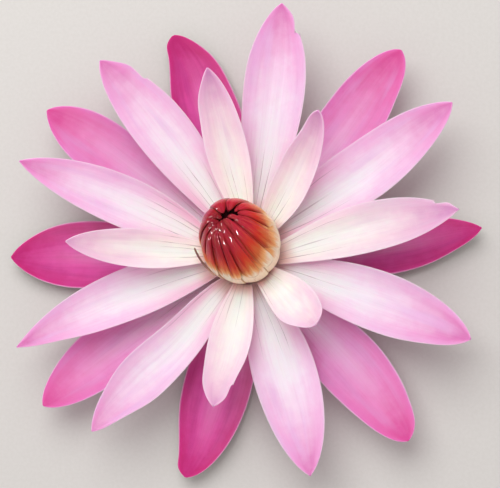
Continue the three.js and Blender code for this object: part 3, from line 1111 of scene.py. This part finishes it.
def blade_row(whorl, tepal, s):
    """One row of a blade. Near the root it is pitched inwards, to lie round the receptacle."""
    place = midrib(whorl, tepal, s)
    ahead = midrib(whorl, tepal, s + STEP) - place
    width = max(tepal.half * outline_share(tepal, s), TIP_HALF_WIDTH)
    rise = whorl.curl / tepal.half**2 * mix(ROOT_CHANNEL, 1, s) * width**2
    hug = min(max(1 - s / ROOT_HUG, 0.0), 1.0)
    wrap = hug * width**2 / (2 * math.hypot(place.x, place.y))
    return Row(
        place=place,
        width=width,
        depth=math.hypot(rise, wrap),
        roll=tepal.roll * min(s / ROLL_ONSET, 1.0),
        pitch=math.degrees(math.atan2(wrap, rise)),
        heading=math.degrees(math.atan2(ahead.y, ahead.x)) - 90,
    )


def blade_station(number):
    """Rows stand closer together towards the tip."""
    return math.sin(math.pi / 2 * number / BLADE_ROWS)


def nearest_station(s):
    return round(math.asin(s) / (math.pi / 2) * BLADE_ROWS)


def rim_point(number, side):
    """The rim's point in a row. The strip's left rim is its first column."""
    column = 0 if side == 1 else BLADE_COLUMNS
    return number * (BLADE_COLUMNS + 1) + column


def ruffle_rims(strip, tepal, order, height):
    """Pulls the rims gently up and down by turns, softly enough to carry the blade with them."""
    for side in (1, -1):
        phase = order * WAVE_STEP + (WAVE_ACROSS if side == 1 else 0)
        # One crest or trough for each half wave. Those that fall off the blade are passed over.
        for crest in range(-2, 12):
            s = (0.25 + 0.5 * crest - phase) / WAVE_COUNT
            if not RUFFLED[0] < s < RUFFLED[1]:
                continue
            sign = 1 if crest % 2 == 0 else -1
            lift = Vector((0, 0, sign * height * s * outline_share(tepal, s)))
            pull(strip, rim_point(nearest_station(s), side), lift, RUFFLE_SPREAD * MM)


def pull(strip, point, value, spread):
    """Moves one point, and its neighbours less, as far along the blade as the spread."""
    pick(strip, [point])
    bpy.ops.transform.translate(
        value=value,
        use_proportional_edit=True,
        proportional_edit_falloff="SMOOTH",
        proportional_size=spread,
        use_proportional_connected=True,
    )


def inwards_from(strip, point):
    """Direction from a point on the blade to the midrib of its row."""
    middle = point - point % (BLADE_COLUMNS + 1) + BLADE_COLUMNS // 2
    mesh = bmesh.from_edit_mesh(strip.data)
    mesh.verts.ensure_lookup_table()
    return (mesh.verts[middle].co - mesh.verts[point].co).normalized()


def shape_outline(strip, tepal):
    """Flattens the outline where it isn't a full curve, and creases the face."""
    for side, s, depth, spread in tepal.flats:
        point = rim_point(nearest_station(s), side)
        pull(strip, point, inwards_from(strip, point) * depth * MM, spread * MM)
    for across, s, height, spread in tepal.creases:
        column = round((1 - across) / 2 * BLADE_COLUMNS)
        point = nearest_station(s) * (BLADE_COLUMNS + 1) + column
        pull(strip, point, Vector((0, 0, height * MM)), spread * MM)


def nick_rim(strip, nick):
    """A small tear: the rim steps in sharply and runs back to its own line towards the tip."""
    side, s, depth = nick
    number = math.ceil(math.asin(s) / (math.pi / 2) * BLADE_ROWS)
    low, high = blade_station(number - 1), blade_station(number)
    back = (high - s) / (high - low)
    inwards = inwards_from(strip, rim_point(number, side))
    for column, reach in enumerate(NICK_REACH):
        before, at = (rim_point(n, side) + column * side for n in (number - 1, number))
        mesh = bmesh.from_edit_mesh(strip.data)
        mesh.verts.ensure_lookup_table()
        ahead = mesh.verts[at].co - mesh.verts[before].co
        for point, share in ((before, 1 - back), (at, -back)):
            pick(strip, [point])
            bpy.ops.transform.translate(value=ahead * NICK_SQUEEZE * reach * share)
        if column == 0:
            corners = [before, at]
        for step, share in enumerate(NICK_RETURN):
            pick(strip, [rim_point(number + step, side) + column * side])
            bpy.ops.transform.translate(value=inwards * depth * MM * share * reach)
    clear_selection()
    sharpness = strip.data.attributes.new("crease_vert", "FLOAT", "POINT")
    for point in corners:
        sharpness.data[point].value = 1.0


def blade_profile(ridge_share):
    """Height across a blade: a channel, with soft ridges along it."""

    def profile(across):
        return across**2 + ridge_share * math.cos(BLADE_COLUMNS / 2 * math.pi * across)

    return profile


def thicken_blade(piece, wall, rim_wall):
    """Gives the blade its thickness behind the inner face, less at the rims, and rounds it."""
    clear_selection()
    group = piece.vertex_groups.new(name="wall")
    for point in range(len(piece.data.vertices)):
        across = 2 * (point % (BLADE_COLUMNS + 1)) / BLADE_COLUMNS - 1
        group.add([point], 1 - abs(across) ** WALL_POWER, "REPLACE")
    apply_modifier(
        piece,
        "wall",
        "SOLIDIFY",
        thickness=wall,
        offset=-1,
        vertex_group="wall",
        thickness_vertex_group=rim_wall / wall,
        material_offset=1,
    )
    apply_modifier(piece, "skin", "SUBSURF", levels=2, render_levels=2)
    piece.vertex_groups.clear()


def build_whorl(name, wall, inner_skin, outer_skin):
    """Copies one blank blade for each tepal of a whorl and lays it along its own midrib."""
    sizes = bpy.context.scene.lily_sizes
    whorl = WHORLS[name]
    ridge_share = sizes.ridge / (whorl.curl * MM)
    profile = blade_profile(ridge_share)
    blank = strip_blank("blank", BLADE_COLUMNS, BLADE_ROWS, BLADE_BLANK_HALF, profile)
    for order, tepal in enumerate(TEPALS[name]):
        node = f"{name}_{order + 1}"
        piece = copy_of(blank, f"{node}_blade")
        stations = [blade_station(number) for number in range(BLADE_ROWS + 1)]
        rows = [blade_row(whorl, tepal, s) for s in stations]
        lay_rows(piece, BLADE_COLUMNS, BLADE_BLANK_HALF, rows)
        ruffle_rims(piece, tepal, order, sizes.ruffle)
        shape_outline(piece, tepal)
        if tepal.nick:
            nick_rim(piece, tepal.nick)
        piece.data.materials.append(inner_skin)
        piece.data.materials.append(outer_skin)
        thicken_blade(piece, wall, sizes.rim_wall)
        write_attribute(piece, "number", float(order))
        write_attribute(piece, "flush", tepal.flush)
        hand_over(piece, name, node)
    bpy.data.objects.remove(blank)


# ---- Stamens -------------------------------------------------------------------------------


def bulb_point(azimuth, climb, height):
    """A point on the bulb: the climb runs from its foot (0) over the waist to its apex (1)."""
    foot_angle = -math.asin((BULB_WAIST - BULB_FLOOR) / BULB_UNDERCUT)
    angle = mix(foot_angle, math.pi / 2, climb)
    tall = BULB_UNDERCUT if angle < 0 else BULB_APEX - BULB_WAIST
    far = (1 + math.cos(math.radians(azimuth - MEETING_DIRECTION))) / 2
    meeting = MEETING_NEAR.lerp(MEETING_FAR, far)
    level = polar((BULB_RADIUS + height) * math.cos(angle), azimuth)
    level = level + meeting * smoothstep(climb, MEETING_ONSET, 1.0)
    outwards = min(level.length / (BULB_RADIUS + height), 1.0)
    z = BULB_WAIST + math.copysign((tall + height) * math.sqrt(1 - outwards**2), angle)
    share = max((z - BULB_FLOOR) / (BULB_APEX - BULB_FLOOR), 0.0)
    lean = polar(BULB_LEAN * share**BULB_LEAN_POWER, BULB_LEAN_DIRECTION, z)
    return level + lean + BULB_OFF_CENTRE


def strap_station(number):
    """Rows stand closer together towards both ends of a strap."""
    return (1 - math.cos(math.pi * number / STRAP_ROWS)) / 2


def end_share(s):
    """Share of a strap's breadth: full but for its rounded ends."""
    to_end = min(s, 1 - s) / STRAP_END_ROUNDING
    return math.sqrt(1 - (1 - to_end) ** 2) if to_end < 1 else 1.0


def strap_row(strap, s):
    """One row of a strap. The strip's width runs anticlockwise and its length up the bulb."""
    climb = mix(strap.start, strap.end, s)
    direction = strap.azimuth + strap.turn * s
    height = strap.height - STRAP_TUCK * smoothstep(s, STRAP_TUCK_ONSET, 1.0)
    place = bulb_point(direction, climb, height)
    one_edge = bulb_point(direction - strap.half, climb, height)
    other_edge = bulb_point(direction + strap.half, climb, height)
    breadth = (other_edge - one_edge).length / 2 * (1 - STRAP_NARROWING * s)
    full = max(breadth, STRAP_TIP_HALF)
    width = full * max(end_share(s), STRAP_END_SHARE)
    step = bulb_point(direction, climb + STEP, height) - place
    inwards = -step.dot(polar(1, direction))
    return Row(
        place=place,
        width=width,
        depth=width**2 / (2 * BULB_RADIUS) + STRAP_CROWN * width,
        roll=-math.degrees(math.atan2(strap.lap / 2 * width / full, width)),
        pitch=math.degrees(math.atan2(step.z, inwards)),
        heading=direction + 90,
    )


def climb_in_map(piece, strap):
    """Makes the map's height the climb on the bulb."""
    for corner in piece.data.uv_layers.active.data:
        number = round(corner.uv.y * STRAP_ROWS)
        corner.uv.y = mix(strap.start, strap.end, strap_station(number))


def share_on_points(piece):
    """Writes how far along the strap each point lies."""
    shares = piece.data.attributes.new("share", "FLOAT", "POINT")
    for corner, place in zip(piece.data.loops, piece.data.uv_layers.active.data):
        shares.data[corner.vertex_index].value = strap_station(round(place.uv.y * STRAP_ROWS))


def all_straps():
    """The straps of the dome: its collar, the tongues with a deeper strap beside each, and the
    tips at the apex."""
    for order in range(COLLAR_STRAPS):
        yield replace(COLLAR_STRAP, azimuth=COLLAR_STRAP.azimuth + 360 * order / COLLAR_STRAPS)
    yield PEELED_STRAP
    for tongue in TONGUES:
        yield tongue
        yield replace(GAP_STRAP, azimuth=tongue.azimuth + tongue.half)
    for order in range(APEX_STRAPS):
        turned = APEX_SPREAD * order / (APEX_STRAPS - 1)
        yield replace(APEX_STRAP, azimuth=APEX_STRAP.azimuth + turned)


def crowned(across):
    """Height across a strap: highest along its middle."""
    return -(across**2)


def join_pieces(pieces, name):
    activate(pieces[0])
    for piece in pieces:
        piece.select_set(True)
    bpy.ops.object.join()
    return name_active(name)


def build_straps(skin):
    """All the straps of the dome, each a copy of one blank."""
    blank = strip_blank("blank", STRAP_COLUMNS, STRAP_ROWS, STRAP_BLANK_HALF, crowned)
    pieces = []
    for number, strap in enumerate(all_straps()):
        piece = copy_of(blank, f"strap_{number}")
        rows = [strap_row(strap, strap_station(row)) for row in range(STRAP_ROWS + 1)]
        lay_rows(piece, STRAP_COLUMNS, STRAP_BLANK_HALF, rows)
        clear_selection()
        share_on_points(piece)
        climb_in_map(piece, strap)
        write_attribute(piece, "number", float(number))
        pieces.append(piece)
    bpy.data.objects.remove(blank)
    dome = join_pieces(pieces, "stamen_dome")
    dome.data.materials.append(skin)
    thicken(dome, STRAP_WALL)
    hand_over(dome, "stamens", "stamens")


def build_core(skin):
    """The flesh behind the straps: a sphere drawn to the bulb's shape, ring by ring."""
    clear_selection()
    bpy.ops.mesh.primitive_uv_sphere_add(
        segments=CORE_SIDES, ring_count=CORE_RINGS, radius=BULB_RADIUS * MM
    )
    core = take_primitive("stamen_core")
    edit(core)
    mesh = bmesh.from_edit_mesh(core.data)
    levels = {}
    for point in mesh.verts:
        levels.setdefault(round(point.co.z / MM, 3), []).append(point.index)
    for number, level in enumerate(sorted(levels)):
        climb = CORE_CLIMB * number / CORE_RINGS
        place = bulb_point(BULB_LEAN_DIRECTION, climb, CORE_HEIGHT)
        centre = (place + bulb_point(BULB_LEAN_DIRECTION + 180, climb, CORE_HEIGHT)) / 2
        here = Vector((0, 0, level * MM))
        pick(core, levels[level])
        if len(levels[level]) > 1:
            grow = (place - centre).length / math.sqrt(BULB_RADIUS**2 - level**2)
            bpy.ops.transform.resize(value=(grow, grow, 1), center_override=here)
        bpy.ops.transform.translate(value=centre * MM - here)
    clear_selection()
    core.data.materials.append(skin)
    apply_modifier(core, "skin", "SUBSURF", levels=1, render_levels=1)
    hand_over(core, "stamens", "stamens")


def build_stray(skin):
    """The strap that stands away from the dome, on edge."""
    stray = strip_blank("stray_stamen", STRAP_COLUMNS, STRAP_ROWS, STRAY_BLANK_HALF, crowned)

    def place(s):
        radius = mix(STRAY_ROOT_RADIUS, STRAY_TIP_RADIUS, s**STRAY_CURL)
        return polar(radius, mix(STRAY_ROOT, STRAY_TIP, s), STRAY_FOOT + STRAY_RISE * s)

    rows = []
    for number in range(STRAP_ROWS + 1):
        s = number / STRAP_ROWS
        ahead = place(s + STEP) - place(s)
        rows.append(
            Row(
                place=place(s),
                width=STRAY_HALF * (1 - STRAY_TAPER * s**2),
                depth=STRAY_DEPTH,
                roll=-90,
                pitch=0,
                heading=math.degrees(math.atan2(ahead.y, ahead.x)) - 90,
            )
        )
    lay_rows(stray, STRAP_COLUMNS, STRAY_BLANK_HALF, rows)
    clear_selection()
    stray.data.materials.append(skin)
    thicken(stray, STRAY_WALL)
    hand_over(stray, "stamens", "stamens")


# ---- Receptacle ----------------------------------------------------------------------------


def pick_end(drum, end):
    """Selects the faces at the drum's top (1) or at its cut end (-1)."""
    bpy.ops.mesh.select_all(action="DESELECT")
    mesh = bmesh.from_edit_mesh(drum.data)
    for face in mesh.faces:
        face.select_set(face.normal.z * end > 0.9)
    bmesh.update_edit_mesh(drum.data)


def build_receptacle(skin):
    """A short drum, its top extruded and widened ring by ring along the outline, and its cut
    end pierced by the stalk's air canals."""
    clear_selection()
    foot, (_, height) = RECEPTACLE_OUTLINE[0][0], RECEPTACLE_OUTLINE[1]
    bpy.ops.mesh.primitive_cylinder_add(
        vertices=RECEPTACLE_SIDES,
        radius=foot * MM,
        depth=height * MM,
        location=(0, 0, height / 2 * MM),
    )
    drum = take_primitive("receptacle_body")
    edit(drum)
    bpy.context.tool_settings.mesh_select_mode = (False, False, True)
    pick_end(drum, 1)
    previous = foot
    for radius, level in RECEPTACLE_OUTLINE[1:]:
        if level > height:
            bpy.ops.mesh.extrude_region_move(
                TRANSFORM_OT_translate={"value": (0, 0, (level - height) * MM)}
            )
        bpy.ops.transform.resize(value=(radius / previous, radius / previous, 1))
        previous, height = radius, level
    bpy.ops.mesh.inset(thickness=TOP_INSET * MM)
    pick_end(drum, -1)
    bpy.ops.mesh.inset(thickness=CUT_INSET * MM)
    clear_selection()
    apply_modifier(
        drum, "edges", "BEVEL", width=EDGE_BEVEL * MM, segments=2, limit_method="ANGLE"
    )
    for rod in canal_rods():
        apply_modifier(drum, "canal", "BOOLEAN", operation="DIFFERENCE", object=rod)
        bpy.data.objects.remove(rod)
    drum.data.materials.append(skin)
    activate(drum)
    hand_over(drum, "receptacle", "receptacle")
    bpy.ops.object.shade_smooth_by_angle(angle=math.radians(SMOOTH_ANGLE))


def canal_rods():
    """Rods that bore the air canals: wide ones round the middle and narrow ones further out."""
    rods = []
    for count, ring, radius, first in CANALS:
        for order in range(count):
            clear_selection()
            place = polar(ring, first + 360 * order / count)
            bpy.ops.mesh.primitive_cylinder_add(
                vertices=CANAL_SIDES,
                radius=radius * MM,
                depth=CANAL_ROD * MM,
                location=place * MM,
            )
            rods.append(take_primitive(f"canal_{len(rods)}"))
    return rods


# ---- Operators -----------------------------------------------------------------------------


def blade_stops(root, middle, tip):
    """A blade's colours from root to tip."""
    nearer = [(stop, [mix(m, t, share) for m, t in zip(middle, tip)]) for stop, share in TIP_SHARES]
    return ((ROOT_STOP, root), (MIDDLE_STOP, middle), *nearer)


def whorl_skin(context, whorl, name):
    """The inner skin of a whorl. Its colour settings begin with the whorl's first word."""
    colours = context.scene.lily_colours
    kind = whorl.split("_")[0]
    stops = blade_stops(*(getattr(colours, f"{kind}_{part}") for part in ("root", "middle", "tip")))
    look = LOOKS[whorl]
    rim, bands = linear(look.rim), linear(look.bands)
    return petal_skin(
        name, stops, colours.vein, look.veins, rim, bands, look.streaks, look.root_shade
    )


def build_petals(context, whorl):
    """Builds one of the three whorls of petals."""
    kind = whorl.replace("_", " ")
    inner = whorl_skin(context, whorl, f"{kind} skin")
    outer = petal_back_skin(f"{kind} back skin", context.scene.lily_colours.petal_back)
    build_whorl(whorl, context.scene.lily_sizes.petal_wall, inner, outer)


class LILY_OT_receptacle(bpy.types.Operator):
    """Builds the receptacle with the stalk's cut end"""

    bl_idname = "lily.receptacle"
    bl_label = "Receptacle"

    def execute(self, context):
        build_receptacle(stalk_skin("stalk skin", context.scene.lily_colours.stalk))
        return {"FINISHED"}


class LILY_OT_sepals(bpy.types.Operator):
    """Builds the four sepals, the lowest whorl"""

    bl_idname = "lily.sepals"
    bl_label = "Sepals"

    def execute(self, context):
        inner = whorl_skin(context, "sepal", "sepal inner skin")
        outer = sepal_back_skin("sepal waxy skin", context.scene.lily_colours.sepal_back)
        build_whorl("sepal", context.scene.lily_sizes.sepal_wall, inner, outer)
        return {"FINISHED"}


class LILY_OT_outer_petals(bpy.types.Operator):
    """Builds the four outer petals"""

    bl_idname = "lily.outer_petals"
    bl_label = "Outer petals"

    def execute(self, context):
        build_petals(context, "outer_petal")
        return {"FINISHED"}


class LILY_OT_middle_petals(bpy.types.Operator):
    """Builds the eight middle petals"""

    bl_idname = "lily.middle_petals"
    bl_label = "Middle petals"

    def execute(self, context):
        build_petals(context, "middle_petal")
        return {"FINISHED"}


class LILY_OT_inner_petals(bpy.types.Operator):
    """Builds the six inner petals"""

    bl_idname = "lily.inner_petals"
    bl_label = "Inner petals"

    def execute(self, context):
        build_petals(context, "inner_petal")
        return {"FINISHED"}


class LILY_OT_stamens(bpy.types.Operator):
    """Builds the closed dome of stamens and the one strap that stands away from it"""

    bl_idname = "lily.stamens"
    bl_label = "Stamens"

    def execute(self, context):
        colours = context.scene.lily_colours
        straps = (colours.stamen_foot, colours.stamen_middle, colours.stamen_tip)
        build_straps(stamen_skin("wet stamen skin", *straps))
        build_core(core_flesh("stamen flesh"))
        build_stray(stray_skin("dried stamen skin"))
        return {"FINISHED"}


class LILY_OT_stage(bpy.types.Operator):
    """Builds the floor, the lights and the camera"""

    bl_idname = "lily.stage"
    bl_label = "Stage"

    def execute(self, context):
        stage = context.scene.lily_stage
        clear_selection()
        bpy.ops.mesh.primitive_plane_add(size=FLOOR_SIZE, location=(0, 0, 0))
        floor = take_primitive("floor")
        floor.data.materials.append(paper_sweep("studio paper", stage.floor))
        add_air(stage.fill)
        add_light("key light", KEY_PLACE, KEY_SIZE, stage.key, False)
        for side, place in GLINT_PLACES.items():
            add_light(f"{side} glint light", place, GLINT_SIZE, stage.glint, True)
        add_camera()
        context.scene.view_settings.view_transform = "Standard"
        return {"FINISHED"}


def add_air(brightness):
    """An even light from all round. It doesn't show in what is wet or glossy, as when dark
    flags stand round the set."""
    world = bpy.data.worlds.new("studio air")
    world.use_nodes = True
    background = world.node_tree.nodes["Background"]
    background.inputs["Color"].default_value = AIR_COLOUR
    background.inputs["Strength"].default_value = brightness
    world.cycles_visibility.glossy = False
    bpy.context.scene.world = world


def add_light(name, place, size, power, glints):
    """A lamp aimed at the flower. It either shows only in what is wet or glossy, or it only
    lights."""
    lamp = bpy.data.lights.new(name, "AREA")
    lamp.shape = "ELLIPSE"
    lamp.size, lamp.size_y = size
    lamp.energy = power
    light = bpy.data.objects.new(name, lamp)
    bpy.context.scene.collection.objects.link(light)
    light.location = place
    light.visible_glossy = glints
    light.visible_diffuse = not glints
    light.rotation_euler = (AIM - light.location).to_track_quat("-Z", "Y").to_euler()


def add_camera():
    """Looks down on the flower along a line a little off the vertical."""
    tilt = math.radians(VIEW_TILT)
    sideways = Vector((-math.sin(math.radians(VIEW_LEAN)), math.cos(math.radians(VIEW_LEAN)), 0))
    turned = Matrix.Rotation(tilt, 3, sideways)
    right, up, back = (turned @ Vector(axis) for axis in ((1, 0, 0), (0, 1, 0), (0, 0, 1)))
    across, above = VIEW_SHIFT
    target = Vector((0, 0, VIEW_HEIGHT)) + (right * across + up * above) * MM_PER_PIXEL
    lens = bpy.data.cameras.new("camera")
    lens.sensor_fit = "HORIZONTAL"
    lens.sensor_width = SENSOR
    lens.lens = SENSOR * VIEW_DISTANCE / MM_PER_PIXEL / FRAME_WIDTH
    camera = bpy.data.objects.new("camera", lens)
    bpy.context.scene.collection.objects.link(camera)
    place = (target + back * VIEW_DISTANCE) * MM
    camera.matrix_world = Matrix.Translation(place) @ turned.to_4x4()
    bpy.context.scene.camera = camera


class LILY_PT_panel(bpy.types.Panel):
    """Lists the flower's pieces, sizes and colours"""

    bl_idname = "LILY_PT_panel"
    bl_label = "Water Lily"
    bl_space_type = "VIEW_3D"
    bl_region_type = "UI"
    bl_category = "Water Lily"

    def draw(self, context):
        layout = self.layout
        for operator in OPERATORS:
            layout.operator(operator.bl_idname)
        for settings in (
            context.scene.lily_sizes,
            context.scene.lily_colours,
            context.scene.lily_stage,
        ):
            box = layout.box()
            for name in settings.__annotations__:
                box.prop(settings, name)


OPERATORS = (
    LILY_OT_receptacle,
    LILY_OT_sepals,
    LILY_OT_outer_petals,
    LILY_OT_middle_petals,
    LILY_OT_inner_petals,
    LILY_OT_stamens,
    LILY_OT_stage,
)
SETTINGS = {"lily_sizes": LilySizes, "lily_colours": LilyColours, "lily_stage": LilyStage}


def register():
    for cls in (*SETTINGS.values(), *OPERATORS, LILY_PT_panel):
        bpy.utils.register_class(cls)
    for name, group in SETTINGS.items():
        setattr(bpy.types.Scene, name, bpy.props.PointerProperty(type=group))


def unregister():
    for name in SETTINGS:
        delattr(bpy.types.Scene, name)
    for cls in (LILY_PT_panel, *reversed(OPERATORS), *SETTINGS.values()):
        bpy.utils.unregister_class(cls)


def main():
    register()
    bpy.ops.lily.stage()
    bpy.ops.lily.receptacle()
    bpy.ops.lily.sepals()
    bpy.ops.lily.outer_petals()
    bpy.ops.lily.middle_petals()
    bpy.ops.lily.inner_petals()
    bpy.ops.lily.stamens()


if __name__ == "__main__":
    main()
